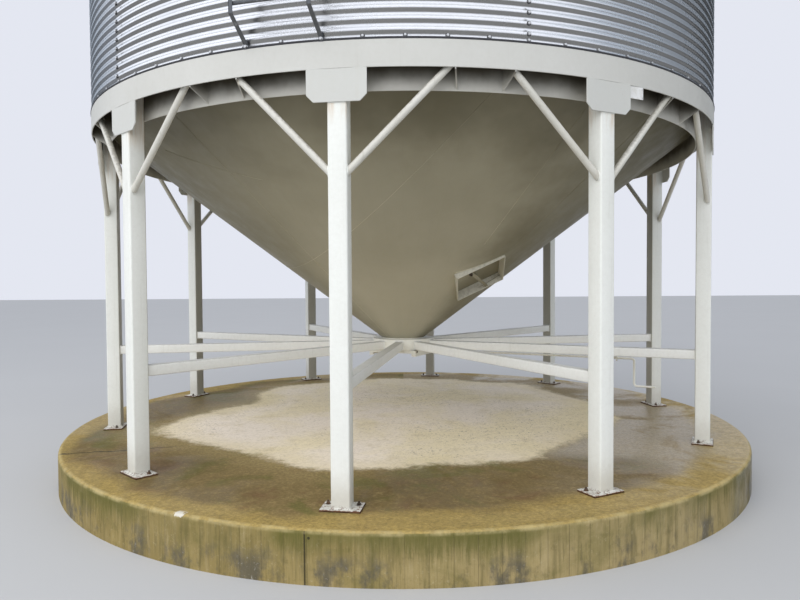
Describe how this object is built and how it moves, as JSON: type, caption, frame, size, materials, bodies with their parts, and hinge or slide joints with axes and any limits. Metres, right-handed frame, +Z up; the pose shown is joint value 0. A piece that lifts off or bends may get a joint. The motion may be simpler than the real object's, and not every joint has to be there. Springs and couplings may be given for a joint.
{
  "type": "grain silo",
  "caption": "Hopper-bottom grain silo: corrugated round bin with conical roof on a ring beam and legs, cone with crank-driven slide gate, round concrete plinth.",
  "frame": {"origin": "centre of the plinth's underside, at ground level", "axes": "+Z up; -Y is the front of the picture's view; +X to its right"},
  "size_m": [6.064, 6.064, 10.1912],
  "materials": {
    "concrete": "weathered cast concrete",
    "painted_steel": "off-white gloss paint, weathered",
    "cone_paint": "off-white paint on welded sheet",
    "galvanised": "spangled galvanised sheet",
    "bare_steel": "dull oxidised steel",
    "plate_white": "white coated sheet"
  },
  "bodies": {
    "silo": {"plinth": "concrete", "leg_01": "painted_steel", "leg_02": "painted_steel", "leg_03": "painted_steel", "leg_04": "painted_steel", "leg_05": "painted_steel", "leg_06": "painted_steel", "leg_07": "painted_steel", "leg_08": "painted_steel", "leg_09": "painted_steel", "leg_10": "painted_steel", "tie_beam_01": "painted_steel", "tie_beam_02": "painted_steel", "tie_beam_03": "painted_steel", "tie_beam_04": "painted_steel", "tie_beam_05": "painted_steel", "tie_beam_06": "painted_steel", "tie_beam_07": "painted_steel", "tie_beam_08": "painted_steel", "tie_beam_09": "painted_steel", "tie_beam_10": "painted_steel", "ring_beam": "painted_steel", "hub_ring": "painted_steel", "gate_frame": "painted_steel", "crank_bracket": "painted_steel", "hatch_frame": "painted_steel", "hopper_cone": "cone_paint", "outlet_collar": "cone_paint", "hatch_door": "cone_paint", "sign_plate": "plate_white", "wall_ring_01": "galvanised", "wall_ring_02": "galvanised", "wall_ring_03": "galvanised", "wall_ring_04": "galvanised", "wall_ring_05": "galvanised", "roof_shell": "galvanised", "peak_collar": "galvanised", "peak_cap": "galvanised", "roof_hatch": "galvanised", "wall_ladder": "galvanised"},
    "crank": {"gate_crank": "painted_steel", "gate_pinion_01": "bare_steel", "gate_pinion_02": "bare_steel"},
    "slide": {"slide_gate": "bare_steel"}
  },
  "joints": [
    {"name": "gate_crank_turn", "type": "hinge", "parent": "silo", "child": "crank", "pos_m": [0.1301, 0.27032, 0.92], "axis": [-0.9011, 0.4337, 0], "range_deg": [0, 1174.56]},
    {"name": "gate_slide", "type": "slide", "parent": "silo", "child": "slide", "axis": [0.4337, 0.9011, 0], "range_m": [0, 0.41]}
  ],
  "couplings": [
    {"joint": "gate_slide", "follows": "gate_crank_turn", "m_per_rad": 0.02}
  ]
}
